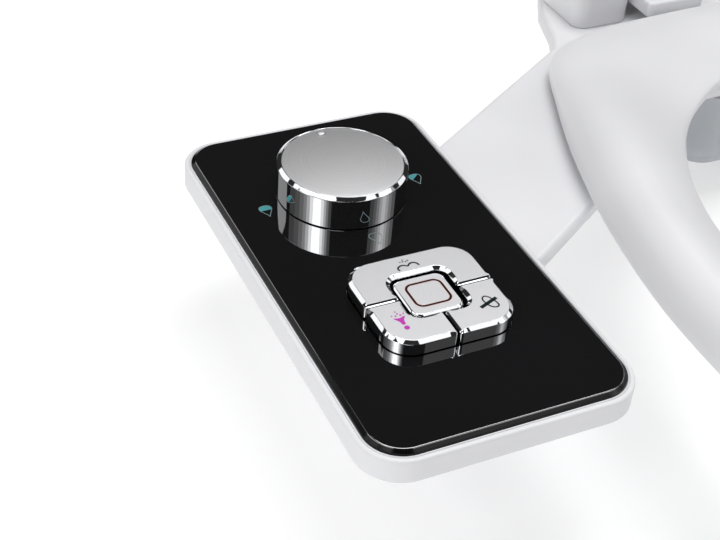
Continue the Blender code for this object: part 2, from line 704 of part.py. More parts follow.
def main():
    clear_scene()
    white = make_material("white_plastic", (0.86, 0.86, 0.87), 0.25)
    grey = make_material("grey_plastic", (0.55, 0.56, 0.58), 0.4)
    black = make_material("black_plastic", (0.02, 0.02, 0.02), 0.4)
    chrome = make_material("chrome", (0.85, 0.85, 0.86), 0.06, 1.0)
    satin = make_material("satin_chrome", (0.8, 0.8, 0.82), 0.3, 1.0)
    steel = make_material("steel", (0.6, 0.6, 0.62), 0.35, 1.0)
    brass = make_material("brass", (0.7, 0.55, 0.25), 0.35, 1.0)
    glass = make_material("black_glass", (0.01, 0.01, 0.01), 0.03)
    clear = make_material("clear_plastic", (0.75, 0.77, 0.8), 0.15)
    rubber = make_material("rubber", (0.5, 0.5, 0.5), 0.8)
    green = make_material("board_green", (0.02, 0.2, 0.08), 0.5)
    amber = make_material("heater_film", (0.6, 0.3, 0.06), 0.4)
    base_shell(white)
    base_cover(white, steel)
    grip_pad(rubber)
    link_plate(steel)
    supply_lines(clear, grey)
    panel_housing(white)
    panel_cover(white, steel)
    inlets(white, steel, black)
    glass_and_gasket(glass, black)
    knob_parts(chrome, satin, black, white)
    keys(satin)
    key_electronics(black, green, grey)
    nozzle_unit(white, grey, brass)
    nozzle_guard(clear)
    seat(white, grey, amber, rubber)
    hinges(white, steel, grey, rubber)


main()
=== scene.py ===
"""Electric bidet seat: the finished pieces, materials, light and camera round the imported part.

Row frame: the origin is midway between the seat bolts under the base plate, +X to the sitting person's
left, +Y to the back, +Z up. Outlines and heights are in millimetres and are turned to metres at the end.
"""

import math

import bmesh
import bpy
from mathutils import Matrix, Vector


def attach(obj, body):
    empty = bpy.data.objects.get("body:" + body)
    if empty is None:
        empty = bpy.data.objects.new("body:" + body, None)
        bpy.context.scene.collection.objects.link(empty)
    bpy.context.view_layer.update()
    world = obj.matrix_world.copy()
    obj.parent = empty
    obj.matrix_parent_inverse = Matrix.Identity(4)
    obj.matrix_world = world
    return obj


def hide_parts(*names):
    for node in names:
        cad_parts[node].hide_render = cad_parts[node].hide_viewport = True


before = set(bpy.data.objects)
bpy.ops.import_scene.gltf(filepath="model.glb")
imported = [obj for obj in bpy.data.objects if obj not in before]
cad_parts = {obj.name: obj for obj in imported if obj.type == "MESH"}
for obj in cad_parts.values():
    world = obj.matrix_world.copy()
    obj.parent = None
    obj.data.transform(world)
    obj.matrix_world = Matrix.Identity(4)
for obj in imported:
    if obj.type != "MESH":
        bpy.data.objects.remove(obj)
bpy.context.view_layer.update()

MM = 0.001
GAP = 0.3

# base plate and arm
BASE_TOP = 7.0
BASE_WALL = 2.0
ROOF_HEIGHT = 5.2
EDGE_ROUND = 3.0
ARM_ANGLE = math.radians(32.4)
ARM_END_X = -205.7
ARM_TUCK_X = -208.2
ARM_FRONT_Y = -173.1
ARM_BACK_Y = -83.9
PLATE_FRONT_Y = -82.0
SHOULDER_X = -110.5

# control panel
PANEL_X = (-317.0, -206.0)
PANEL_Y = (-255.0, -50.5)
PANEL_RADIUS = 17.5
PANEL_BOTTOM = -2.0
PANEL_RIM = 8.2
GLASS_INSET = 3.0
GLASS_TOP = 10.0
MIRROR_ABOVE = 9.8
SHAFT_HOLE = 6.5
WELL_MARGIN = 0.5
INLET = (-232.0, -76.0)
GLAND = (-292.0, -76.0)

# flow knob
KNOB = (-262.8, -105.8)
KNOB_RADIUS = 27.16
KNOB_BOTTOM = 10.4
KNOB_TOP = 25.0
KNOB_SHOULDER = 23.9
WEB_BOTTOM = 21.2
WEB_TOP = 23.2
SHAFT_SEAT = 5.3
DISC_BOTTOM = 23.5
DISC_RADIUS = 25.1
DISC_EDGE = 24.82
DISC_CROWN = 0.55
CROWN_RADIUS = 25.0
STUD_PLACE = 22.3
STUD_RADIUS = 1.7
STUD_BOTTOM = 24.3
STUD_PLAY = 0.2

# push keys
KEYS_X = (-288.5, -235.0)
KEYS_Y = (-209.5, -160.0)
KEYS_RADIUS = 11.5
KEY_SPLIT = (-262.0, -184.7)
KEY_HALF_GAP = 0.45
KEY_CORNER = 1.25
WELL_X = (-274.4, -250.0)
WELL_Y = (-196.2, -172.4)
WELL_RADIUS = 4.6
STOP_X = (-273.2, -251.4)
STOP_Y = (-195.2, -173.2)
STOP_RADIUS = 4.0
KEY_BOTTOM = 6.4
KEY_TOP = 16.4
STOP_TOP = 15.2
BEVEL_WIDTH = 1.7
BEVEL_DROP = 1.25
STOP_BEVEL = 1.0
STOP_DROP = 0.75
SLOT_SHARE = 0.45
SLOT_NEAR = 1.5
SLOT_FADE = 1.8
STEM_PLACES = {
    "rear_wash_key": (-262.0, -165.6),
    "front_wash_key": (-279.5, -202.5),
    "clean_key": (-244.0, -202.5),
    "stop_key": (-262.6, -184.5),
}

# printed marks
INK_LOW = 0.01
INK_HIGH = 0.05
FILL_SIZE = 0.96
FLOW_MARKS = {
    "low": (-262.5, -140.5),
    "middle": (-228.8, -108.4),
    "high": (-297.0, -108.5),
    "full": (-262.8, -71.2),
}

# seat ring
SEAT_CENTRE = Vector((0.0, -230.0))
OPENING_HALF = 142.0
OPENING_REAR = 152.0
OPENING_FRONT = 154.0
RING_BOTTOM = 12.5
REAR_DROP = 0.42
DROP_Y = (-130.0, -40.0)
BUMPER_KNOTS = (13, 21, 27, 35)

# hinges
HINGE_Y = 4.0
HINGE_Z = 22.0
PIN_HOLE = 3.3
FOOT_X = (58.0, 90.0)
FOOT_Y = (-13.0, 25.0)
SLEEVE_X = (20.0, 57.4)
SLEEVE_LENGTH = 37.4
LUG_X = (22.0, 55.4)
LUG_FRONT_Y = -24.2

# fixings
BOLT_X = 75.0
NOZZLE_X = 11.0
NOZZLE_RADIUS = 4.5
NOZZLE_TILT = math.radians(40.0)
NOZZLE_TIP = Vector((0.0, -67.5, -33.0))
NOZZLE_LENGTH = 37.0
TIP_LENGTH = 9.0
SPRAY_HOLES = (2.6, 4.4)
SPRAY_HOLE_RADIUS = 0.45
WING_X = (7.0, 19.0)
WING_Z = (-50.0, -37.0)

# camera, floor and light, with the camera and the lights in metres and degrees
LENS = 70.985
SENSOR_WIDTH = 36.0
CAMERA_PLACE = (-0.47784, -0.53979, 0.34982)
CAMERA_TURN = (51.7417, -3.6664, -24.7264)
FLOOR_HALF_WIDTH = 6000.0
FLOOR_Z = -60.0
LIGHT_TARGET = Vector((-0.2, -0.15, 0.0))
BANK_HEIGHT = 0.45


# ---------------------------------------------------------------- materials

def colour(code):
    """An sRGB hex colour as the linear RGBA that Blender's sockets take."""
    parts = [int(code[i:i + 2], 16) / 255.0 for i in (0, 2, 4)]
    linear = [p / 12.92 if p <= 0.04045 else ((p + 0.055) / 1.055) ** 2.4 for p in parts]
    return (*linear, 1.0)


def add_node(material, kind, inputs=None, **settings):
    """Add one shader node, with its settings, and its sockets set or linked."""
    made = material.node_tree.nodes.new("ShaderNode" + kind)
    for name, value in settings.items():
        setattr(made, name, value)
    for name, value in (inputs or {}).items():
        if isinstance(value, bpy.types.NodeSocket):
            material.node_tree.links.new(value, made.inputs[name])
        else:
            made.inputs[name].default_value = value
    return made


def new_material(name, base, roughness, **sockets):
    """A material with its constants on the shader's own sockets."""
    material = bpy.data.materials.new(name)
    material.use_nodes = True
    shader = material.node_tree.nodes["Principled BSDF"]
    shader.inputs["Base Color"].default_value = colour(base)
    shader.inputs["Roughness"].default_value = roughness
    for socket, value in sockets.items():
        shader.inputs[socket.replace("_", " ")].default_value = value
    return material


def link(material, socket, output):
    material.node_tree.links.new(output, material.node_tree.nodes["Principled BSDF"].inputs[socket])


def pattern(material, pitch, detail=2.0, stretch=(1.0, 1.0, 1.0)):
    """An uneven pattern, its features about one pitch apart in millimetres, stretched along the axes."""
    place = add_node(material, "TexCoord")
    scale = [1.0 / (pitch * MM * s) for s in stretch]
    spread = add_node(material, "Mapping", {"Vector": place.outputs["Object"], "Scale": scale})
    made = add_node(material, "TexNoise", {"Vector": spread.outputs[0], "Scale": 1.0, "Detail": detail})
    return made.outputs[0]


def spread_over(material, source, tints=None, roughness=None, height=None):
    """Let a pattern mix two near colours, vary the roughness, and raise the surface in millimetres."""
    if tints:
        blend = add_node(material, "ValToRGB", {"Fac": source})
        for stop, position, code in zip(blend.color_ramp.elements, (0.35, 0.65), tints):
            stop.position = position
            stop.color = colour(code)
        link(material, "Base Color", blend.outputs[0])
    if roughness:
        low, high = roughness
        between = add_node(material, "MapRange", {0: source, 1: 0.3, 2: 0.7, 3: low, 4: high})
        link(material, "Roughness", between.outputs[0])
    if height:
        relief = add_node(material, "Bump", {"Height": source, "Strength": 1.0, "Distance": height * MM})
        link(material, "Normal", relief.outputs[0])


def moulded_plastic(name, base, dark, roughness, pitch=0.9, height=0.004, detail=1.0, **sockets):
    """Injection-moulded plastic: slow changes of tint and gloss, with a faint flow texture."""
    material = new_material(name, base, roughness, **sockets)
    broad = pattern(material, 60.0, 1.0)
    fine = pattern(material, pitch, detail)
    spread_over(material, broad, tints=(dark, base), roughness=(roughness * 0.9, roughness * 1.12))
    spread_over(material, fine, height=height)
    return material


# Glossy ABS, moulded in a polished tool: a white with a trace of grey, and a soft sheen.
white_abs = moulded_plastic("glossy_white_abs", "E1E1E4", "DDDDE0", 0.4, 14.0, 0.02, 0.0)

# Grey polypropylene from a spark-eroded tool: matt, with a grain of about 0.6 mm.
grey_plastic = moulded_plastic("grained_grey_polypropylene", "A3A6AB", "989BA1", 0.48, 0.6, 0.03)
black_plastic = moulded_plastic("black_acetal", "17181A", "121314", 0.38, 0.6, 0.015)
grey_cable = moulded_plastic("grey_pvc_cable", "8A8D92", "7E8186", 0.5, 1.2, 0.02)

# Natural polypropylene: milky, and some light passes through its thin walls.
clear_plastic = moulded_plastic("frosted_polypropylene", "D9DCE0", "CDD1D6", 0.3, 6.0, 0.01, 0.0,
                                Transmission_Weight=0.35)

# Toughened glass painted black behind: a mirror over black, with a trace of roller wave.
black_glass = new_material("back_painted_glass", "0B0B0C", 0.015, IOR=2.5)
spread_over(black_glass, pattern(black_glass, 90.0, 1.0), tints=("0A0A0B", "0E0E10"), height=0.02)

# Edge of that glass, ground and painted: black, with hardly a shine.
glass_edge = new_material("ground_glass_edge", "070708", 0.14, Specular_IOR_Level=0.25)
spread_over(glass_edge, pattern(glass_edge, 0.4), tints=("060607", "0A0A0B"), roughness=(0.1, 0.18))

# Chrome plate over polished ABS: a true mirror, with hardly any waviness.
chrome = new_material("mirror_chrome_plate", "DCDDDF", 0.035, Metallic=1.0)
spread_over(chrome, pattern(chrome, 5.0, 1.0), roughness=(0.025, 0.05), height=0.0015)

# Pearl chrome on the keys and the stud: a fine blasted skin under the plate, which shines but shows no
# clear image.
pearl_chrome = new_material("pearl_chrome_plate", "CFCFD1", 0.52, Metallic=1.0)
blasted = pattern(pearl_chrome, 0.35, 3.0)
spread_over(pearl_chrome, blasted, tints=("CACACC", "D5D5D7"), roughness=(0.48, 0.58), height=0.004)

# Spun aluminium disc: turning marks run round the middle, drawn about 0.45 mm apart so that they show.
MARKS_PER_METRE = 2200.0
spun_disc = new_material("spun_aluminium", "E2E2E5", 0.4, Metallic=1.0)
place = add_node(spun_disc, "TexCoord")
middle = add_node(spun_disc, "Mapping", {
    "Vector": place.outputs["Object"],
    "Location": (-KNOB[0] * MM, -KNOB[1] * MM, 0.0),
})
split = add_node(spun_disc, "SeparateXYZ", {0: middle.outputs[0]})
flat = add_node(spun_disc, "CombineXYZ", {"X": split.outputs["X"], "Y": split.outputs["Y"]})
reach = add_node(spun_disc, "VectorMath", {0: flat.outputs[0]}, operation="LENGTH")
turned = add_node(
    spun_disc,
    "TexNoise",
    {"W": reach.outputs["Value"], "Scale": MARKS_PER_METRE, "Detail": 2.0},
    noise_dimensions="1D",
)
spread_over(spun_disc, turned.outputs[0], ("E2E2E4", "EBEBEC"), roughness=(0.37, 0.43), height=0.0006)

# Drawn stainless steel: grey, with a fine grain drawn out from side to side.
steel = new_material("drawn_stainless_steel", "B9BBBE", 0.28, Metallic=1.0)
drawn = pattern(steel, 0.4, stretch=(6.0, 1.0, 1.0))
spread_over(steel, drawn, tints=("ABADB0", "C4C6C9"), roughness=(0.2, 0.36))

# Turned brass, slightly dulled by handling.
brass = new_material("turned_brass", "C2A15A", 0.3, Metallic=1.0)
spread_over(brass, pattern(brass, 4.0, 3.0), tints=("B08F4B", "CBAB66"), roughness=(0.24, 0.42))

# Moulded silicone rubber: pale grey and matt.
rubber = moulded_plastic("pale_silicone_rubber", "B9BCC0", "ADB0B5", 0.62, 1.0, 0.03)

# Solder mask over glass cloth: a green lacquer, faintly uneven.
board = moulded_plastic("green_solder_mask", "1E5A36", "194D2E", 0.35, 1.2, 0.01)

# Polyimide heater film: amber and glossy.
heater_film = moulded_plastic("amber_polyimide_film", "B06A1F", "9A5A18", 0.25, 3.0, 0.02)

# Printing inks: flat and opaque, with the slight unevenness of a screen print.
ink_teal = moulded_plastic("teal_ink", "4E9CA2", "478F95", 0.45, 0.5, 0.004, Specular_IOR_Level=0.15)
ink_line = moulded_plastic("pale_line_ink", "7C9094", "72868A", 0.45, 0.5, 0.004, Specular_IOR_Level=0.15)
ink_dark = moulded_plastic("dark_green_ink", "0E2022", "0A1A1C", 0.4, 0.5, 0.004, Specular_IOR_Level=0.15)
ink_magenta = moulded_plastic("magenta_ink", "C43FB4", "B938AA", 0.42, 0.5, 0.004, Specular_IOR_Level=0.15)
ink_red = moulded_plastic("dark_red_ink", "22080A", "1C0608", 0.42, 0.5, 0.004, Specular_IOR_Level=0.15)
ink_halo = moulded_plastic("faint_red_ink", "E6BDB6", "DFB4AD", 0.42, 0.5, 0.004, Specular_IOR_Level=0.15)


# ---------------------------------------------------------------- shapes

def rounded(corners, steps=12):
    """An outline from (x, y, radius) corners, with each corner turned into an arc."""
    outline = []
    count = len(corners)
    for i, (x, y, radius) in enumerate(corners):
        here = Vector((x, y))
        if radius <= 0.0:
            outline.append(here)
            continue
        to_last = (Vector(corners[i - 1][:2]) - here).normalized()
        to_next = (Vector(corners[(i + 1) % count][:2]) - here).normalized()
        half = to_last.angle(to_next) / 2.0
        start = here + to_last * radius / math.tan(half)
        end = here + to_next * radius / math.tan(half)
        centre = here + (to_last + to_next).normalized() * radius / math.sin(half)
        first = start - centre
        sweep = first.angle_signed(end - centre)
        outline += [centre + Matrix.Rotation(-sweep * k / steps, 2) @ first for k in range(steps + 1)]
    return outline


def rectangle(x, y, radius, steps=12):
    corners = [(x[0], y[0], radius), (x[1], y[0], radius), (x[1], y[1], radius), (x[0], y[1], radius)]
    return rounded(corners, steps)


def inset(outline, distance, widen=None):
    """An outline moved inwards by a distance, for a counter-clockwise outline; widen says where by more."""
    moved = []
    count = len(outline)
    for i, point in enumerate(outline):
        before = (point - outline[i - 1]).normalized()
        after = (outline[(i + 1) % count] - point).normalized()
        normal = Vector((-(before.y + after.y), before.x + after.x)).normalized()
        lean = max(0.3, normal.dot(Vector((-before.y, before.x))))
        moved.append(point + normal * distance * (widen(point) if widen else 1.0) / lean)
    return moved


def smooth_line(knots, samples=6, closed=False):
    """Points along a smooth curve through a few knots."""
    knots = [Vector(k) for k in knots]
    count = len(knots)
    line = []
    for i in range(count if closed else count - 1):
        if closed:
            a, b, c, d = (knots[(i + k - 1) % count] for k in range(4))
        else:
            a, b, c, d = (knots[min(max(i + k - 1, 0), count - 1)] for k in range(4))
        for k in range(samples):
            t = k / samples
            bend = (2.0 * a - 5.0 * b + 4.0 * c - d) * t * t
            twist = (3.0 * b - 3.0 * c + d - a) * t ** 3
            line.append((2.0 * b + (c - a) * t + bend + twist) / 2.0)
    return line if closed else line + [knots[-1]]


def arc_steps(radius, low, steps=6):
    """(inset, height) pairs that turn an upright side into a flat top with a round edge."""
    turns = [math.pi / 2.0 * k / steps for k in range(steps + 1)]
    return [(radius * (1.0 - math.cos(a)), low + radius * math.sin(a)) for a in turns]


def skin(rings, closed=False):
    """A surface through rings of equally many points, closed over both ends or back on itself."""
    bm = bmesh.new()
    columns = len(rings[0])
    rows = len(rings) if closed else len(rings) - 1
    bmesh.ops.create_grid(bm, x_segments=columns, y_segments=rows, size=1.0)
    for vert in bm.verts:
        column = round((vert.co.x + 1.0) / 2.0 * columns)
        row = round((vert.co.y + 1.0) / 2.0 * rows)
        vert.co = rings[row % len(rings)][column % columns]
    bmesh.ops.remove_doubles(bm, verts=bm.verts, dist=0.0005)
    if not closed:
        rims = [edge for edge in bm.edges if edge.is_boundary]
        bmesh.ops.holes_fill(bm, edges=rims, sides=0)
    bmesh.ops.recalc_face_normals(bm, faces=bm.faces)
    return bm


def raised(outline, height):
    """An outline as a ring of points at a height."""
    return [Vector((*point, height)) for point in outline]


def wrap(outline, profile, widen=None):
    """A skin whose rings are one outline, moved inwards and up as (inset, height) pairs say."""
    return skin([raised(inset(outline, distance, widen), height) for distance, height in profile])


def lathe(profile, centre=(0.0, 0.0), steps=96):
    """A closed body of revolution about an upright line, from (radius, height) points."""
    bm = bmesh.new()
    verts = [bm.verts.new((centre[0] + r, centre[1], z)) for r, z in profile]
    edges = [bm.edges.new((verts[i - 1], verts[i])) for i in range(len(verts))]
    bmesh.ops.spin(
        bm,
        geom=verts + edges,
        cent=(*centre, 0.0),
        axis=(0.0, 0.0, 1.0),
        angle=2.0 * math.pi,
        steps=steps,
        use_merge=True,
    )
    bmesh.ops.remove_doubles(bm, verts=bm.verts, dist=0.0005)
    bmesh.ops.recalc_face_normals(bm, faces=bm.faces)
    return bm


def rod(start, end, radius, steps=48):
    """A closed cylinder between two points."""
    bm = bmesh.new()
    start = Vector(start)
    run = Vector(end) - start
    turn = run.to_track_quat("Z", "Y").to_matrix().to_4x4()
    place = Matrix.Translation(start + run / 2.0) @ turn
    sizes = {"radius1": radius, "radius2": radius, "depth": run.length}
    bmesh.ops.create_cone(bm, cap_ends=True, segments=steps, matrix=place, **sizes)
    return bm


def stand(bm, place, turn):
    """A shape drawn at the origin, turned and moved to its place."""
    bmesh.ops.transform(bm, matrix=Matrix.Translation(place) @ turn, verts=bm.verts)
    return bm


def add_object(name, bm):
    """Put a bmesh drawn in millimetres into the scene as one object in metres."""
    bmesh.ops.scale(bm, vec=(MM, MM, MM), verts=bm.verts)
    mesh = bpy.data.meshes.new(name)
    bm.to_mesh(mesh)
    bm.free()
    thing = bpy.data.objects.new(name, mesh)
    bpy.context.scene.collection.objects.link(thing)
    return thing


def combine(thing, bm, operation="DIFFERENCE"):
    """Cut a closed bmesh out of an object, or join it on, and keep only the result."""
    other = add_object("tool", bm)
    change = thing.modifiers.new("change", "BOOLEAN")
    change.operation = operation
    change.object = other
    change.solver = "EXACT"
    shown = thing.evaluated_get(bpy.context.evaluated_depsgraph_get())
    done = bpy.data.meshes.new_from_object(shown)
    thing.modifiers.clear()
    thing.data = done
    bpy.data.objects.remove(other, do_unlink=True)


def finish_piece(thing, materials, body, stands_for=(), crease=35.0, pick=None):
    """Shade a piece, give it its materials, tie it to its body, and hide the nodes it stands for."""
    for material in materials:
        thing.data.materials.append(material)
    if pick:
        for face in thing.data.polygons:
            face.material_index = pick(face)
    thing.data.shade_smooth()
    thing.data.set_sharp_from_angle(angle=math.radians(crease))
    weights = thing.modifiers.new("normals", "WEIGHTED_NORMAL")
    weights.keep_sharp = True
    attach(thing, body)
    if stands_for:
        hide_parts(*stands_for)
    return thing


def piece(name, bm, material, body, slot, *stands_for, crease=35.0):
    """A new piece of one material."""
    return finish_piece(add_object(name, bm), [material], body, stands_for, crease)


# ---------------------------------------------------------------- outlines

def base_outline():
    """Arm and base plate, with the arm's end tucked into the panel's side."""
    slope = math.tan(ARM_ANGLE)
    meet_x = ARM_END_X + (PLATE_FRONT_Y - ARM_FRONT_Y) / slope
    shoulder_y = ARM_BACK_Y + (SHOULDER_X - ARM_END_X) * slope
    tuck = (ARM_TUCK_X - ARM_END_X) * slope
    return rounded([
        (ARM_TUCK_X, ARM_FRONT_Y + tuck, 0.0),
        (meet_x, PLATE_FRONT_Y, 30.0),
        (62.0, PLATE_FRONT_Y, 14.0),
        (112.0, -48.0, 22.0),
        (105.0, -12.0, 16.0),
        (97.0, 12.0, 24.0),
        (82.0, 38.0, 12.0),
        (-82.0, 38.0, 12.0),
        (-97.0, 12.0, 20.0),
        (-104.5, -12.0, 12.0),
        (SHOULDER_X, shoulder_y, 5.0),
        (ARM_TUCK_X, ARM_BACK_Y + tuck, 0.0),
    ])


def seat_outline(samples):
    """Outside of the seat ring: a smooth closed curve through a few points of its left half, mirrored."""
    left = [(0, -25), (-52, -26), (-96, -30), (-126, -46), (-143, -80), (-160, -125), (-174, -178)]
    left += [(-181.6, -236), (-179, -298), (-163, -356), (-131, -408), (-76, -442), (0, -452)]
    return smooth_line(left + [(-x, y) for x, y in reversed(left[1:-1])], samples, closed=True)


def opening_point(outer):
    """The point of the seat's oval opening that lies towards an outer point."""
    ray = (outer - SEAT_CENTRE).normalized()
    deep = OPENING_REAR if ray.y > 0.0 else OPENING_FRONT
    return SEAT_CENTRE + ray * OPENING_HALF * deep / math.hypot(deep * ray.x, OPENING_HALF * ray.y)


def lowered(height, y):
    """A height on the seat ring, which gets lower towards the hinges."""
    share = min(1.0, max(0.0, (y - DROP_Y[0]) / (DROP_Y[1] - DROP_Y[0])))
    eased = share * share * (3.0 - 2.0 * share)
    return RING_BOTTOM + (height - RING_BOTTOM) * (1.0 - REAR_DROP * eased)


# ---------------------------------------------------------------- control panel

def make_panel():
    outline = rectangle(PANEL_X, PANEL_Y, PANEL_RADIUS, 16)
    # from the ceiling inside, out round the bottom edge, up the side and over the round shoulder
    profile = [(2.5, 5.0), (2.5, -1.8), (2.3, PANEL_BOTTOM), (0.35, PANEL_BOTTOM), (0.1, -1.9)]
    profile += [(0.0, -1.65), (0.0, 2.0)] + arc_steps(1.1, PANEL_RIM - 1.1)[:-1]
    # across the joint line and the fine rim, and down to the floor that the glass lies over
    profile += [(1.88, 8.19), (2.0, 8.1), (2.02, 7.8), (2.18, 7.8), (2.2, 8.12), (2.28, 8.2)]
    profile += [(2.74, 8.2), (2.84, 8.1), (2.84, 7.0)]
    shell = add_object("panel_shell", wrap(outline, profile))
    open_for_controls(shell, 3.0, 9.0)
    finish_piece(shell, [white_abs], "base", ["panel_housing"])


def open_for_controls(thing, low, high):
    """Cut the hole for the knob's shaft and the well for the keys, from one height to another."""
    combine(thing, lathe([(0.0, low), (SHAFT_HOLE, low), (SHAFT_HOLE, high), (0.0, high)], KNOB, 48))
    x = (KEYS_X[0] - WELL_MARGIN, KEYS_X[1] + WELL_MARGIN)
    y = (KEYS_Y[0] - WELL_MARGIN, KEYS_Y[1] + WELL_MARGIN)
    combine(thing, wrap(rectangle(x, y, KEYS_RADIUS + WELL_MARGIN), [(0.0, low), (0.0, high)]))


def make_glass():
    outline = inset(rectangle(PANEL_X, PANEL_Y, PANEL_RADIUS, 20), GLASS_INSET)
    profile = [(0.25, 8.0), (0.0, 8.25), (0.0, 8.75), (0.04, 8.88), (0.16, 8.98)]
    profile += [(1.45, 9.78), (1.6, 9.9), (1.78, 9.98), (1.95, GLASS_TOP)]
    glass = add_object("glass_plate", wrap(outline, profile))
    open_for_controls(glass, 7.0, 11.0)
    finish_piece(
        glass,
        [black_glass, glass_edge],
        "base",
        ["glass_top"],
        crease=25.0,
        pick=lambda face: 0 if face.center.z > MIRROR_ABOVE * MM else 1,
    )


def make_knob():
    # skirt, mirror chamfer with small rounds at both its edges, and the lip round the spun disc
    shell = [(25.4, KNOB_BOTTOM), (26.96, KNOB_BOTTOM), (27.1, 10.46), (KNOB_RADIUS, 10.6)]
    shell += [(KNOB_RADIUS, KNOB_SHOULDER - 0.3), (27.12, KNOB_SHOULDER - 0.1)]
    shell += [(26.98, KNOB_SHOULDER + 0.04), (25.7, KNOB_TOP - 0.1), (25.58, KNOB_TOP), (25.46, KNOB_TOP)]
    shell += [(25.34, KNOB_TOP - 0.06), (25.18, KNOB_TOP - 0.22), (25.16, WEB_TOP)]
    # the web under the disc, with a hole for the shaft
    shell += [(SHAFT_SEAT, WEB_TOP), (SHAFT_SEAT, WEB_BOTTOM), (25.4, WEB_BOTTOM)]
    piece("knob_skirt", lathe(shell, KNOB, 160), chrome, "knob", "chrome", "knob_shell", crease=24.0)
    disc = [(0.0, DISC_BOTTOM), (25.0, DISC_BOTTOM), (DISC_RADIUS, 23.6), (DISC_RADIUS, DISC_EDGE - 0.06)]
    disc += [(25.02, DISC_EDGE)]
    for radius in (23.0, 20.0, 16.0, 12.0, 8.0, 4.0, 0.0):
        disc.append((radius, DISC_EDGE + DISC_CROWN * (1.0 - (radius / CROWN_RADIUS) ** 2)))
    face = add_object("knob_face", lathe(disc, KNOB, 160))
    spot = (KNOB[0], KNOB[1] + STUD_PLACE)
    hole = STUD_RADIUS + STUD_PLAY
    above = KNOB_TOP + 1.0
    combine(face, lathe([(0.0, STUD_BOTTOM), (hole, STUD_BOTTOM), (hole, above), (0.0, above)], spot, 40))
    finish_piece(face, [spun_disc], "knob", ["knob_top_disc"])
    dome = [(0.0, STUD_BOTTOM), (1.6, STUD_BOTTOM), (STUD_RADIUS, 24.4), (STUD_RADIUS, KNOB_TOP)]
    dome += [(1.62, 25.17), (1.4, 25.32), (0.95, 25.44), (0.45, 25.49), (0.0, KNOB_TOP + 0.5)]
    piece("knob_stud", lathe(dome, spot, 48), pearl_chrome, "knob", "chrome", "knob_pointer")


def key_outlines():
    """The outline of each key: three blocks round the well, and the stop key in it."""
    left, right = KEYS_X
    front, rear = KEYS_Y
    slot_left, slot_right = KEY_SPLIT[0] - KEY_HALF_GAP, KEY_SPLIT[0] + KEY_HALF_GAP
    slot_front, slot_rear = KEY_SPLIT[1] - KEY_HALF_GAP, KEY_SPLIT[1] + KEY_HALF_GAP
    well_left, well_right = WELL_X
    well_front, well_rear = WELL_Y
    return {
        "rear_wash_key": rounded([
            (left, slot_rear, KEY_CORNER),
            (well_left, slot_rear, KEY_CORNER),
            (well_left, well_rear, WELL_RADIUS),
            (well_right, well_rear, WELL_RADIUS),
            (well_right, slot_rear, KEY_CORNER),
            (right, slot_rear, KEY_CORNER),
            (right, rear, KEYS_RADIUS),
            (left, rear, KEYS_RADIUS),
        ]),
        "front_wash_key": rounded([
            (left, front, KEYS_RADIUS),
            (slot_left, front, KEY_CORNER),
            (slot_left, well_front, KEY_CORNER),
            (well_left, well_front, WELL_RADIUS),
            (well_left, slot_front, KEY_CORNER),
            (left, slot_front, KEY_CORNER),
        ]),
        "clean_key": rounded([
            (slot_right, front, KEY_CORNER),
            (right, front, KEYS_RADIUS),
            (right, slot_front, KEY_CORNER),
            (well_right, slot_front, KEY_CORNER),
            (well_right, well_front, WELL_RADIUS),
            (slot_right, well_front, KEY_CORNER),
        ]),
        "stop_key": rectangle(STOP_X, STOP_Y, STOP_RADIUS),
    }


def divided(outline, longest=1.5):
    """An outline with extra points, so that no stretch of it is longer than a given length."""
    points = []
    for i, point in enumerate(outline):
        after = outline[(i + 1) % len(outline)]
        count = max(1, math.ceil((after - point).length / longest))
        points += [point.lerp(after, k / count) for k in range(count)]
    return points


def bevel_share(point):
    """How much of the full bevel width a stretch of key edge gets: less along the slots between keys."""
    between_well_sides = WELL_X[0] + 0.5 < point.x < WELL_X[1] - 0.5
    if between_well_sides and point.y > WELL_Y[0] + 0.5:
        return 1.0
    to_slot = abs(point.y - KEY_SPLIT[1])
    if between_well_sides or point.y < WELL_Y[0] + 1.0:
        to_slot = min(to_slot, abs(point.x - KEY_SPLIT[0]))
    eased = min(1.0, max(0.0, (to_slot - SLOT_NEAR) / SLOT_FADE))
    return SLOT_SHARE + (1.0 - SLOT_SHARE) * eased


def make_keys():
    for name, outline in key_outlines().items():
        is_stop = name == "stop_key"
        top = STOP_TOP if is_stop else KEY_TOP
        width, drop_by = (STOP_BEVEL, STOP_DROP) if is_stop else (BEVEL_WIDTH, BEVEL_DROP)
        profile = [(0.3, KEY_BOTTOM), (0.0, KEY_BOTTOM + 0.3), (0.0, top - drop_by)]
        profile += [(0.03, top - drop_by + 0.1), (0.12, top - drop_by + 0.2)]
        profile += [(width - 0.22, top - 0.07), (width - 0.1, top - 0.02), (width, top)]
        widen = None if is_stop else bevel_share
        cap = add_object(name + "_cap", wrap(divided(outline), profile, widen=widen))
        stem = [(0.0, 3.2), (2.2, 3.2), (2.5, 3.5), (2.5, KEY_BOTTOM + 1.0), (0.0, KEY_BOTTOM + 1.0)]
        combine(cap, lathe(stem, STEM_PLACES[name], 32), "UNION")
        level = (top - 0.02) * MM
        finish_piece(
            cap,
            [chrome, pearl_chrome],
            name,
            [name],
            crease=20.0,
            pick=lambda face: 1 if face.center.z > level and face.normal.z > 0.9 else 0,
        )


# ---------------------------------------------------------------- printed marks

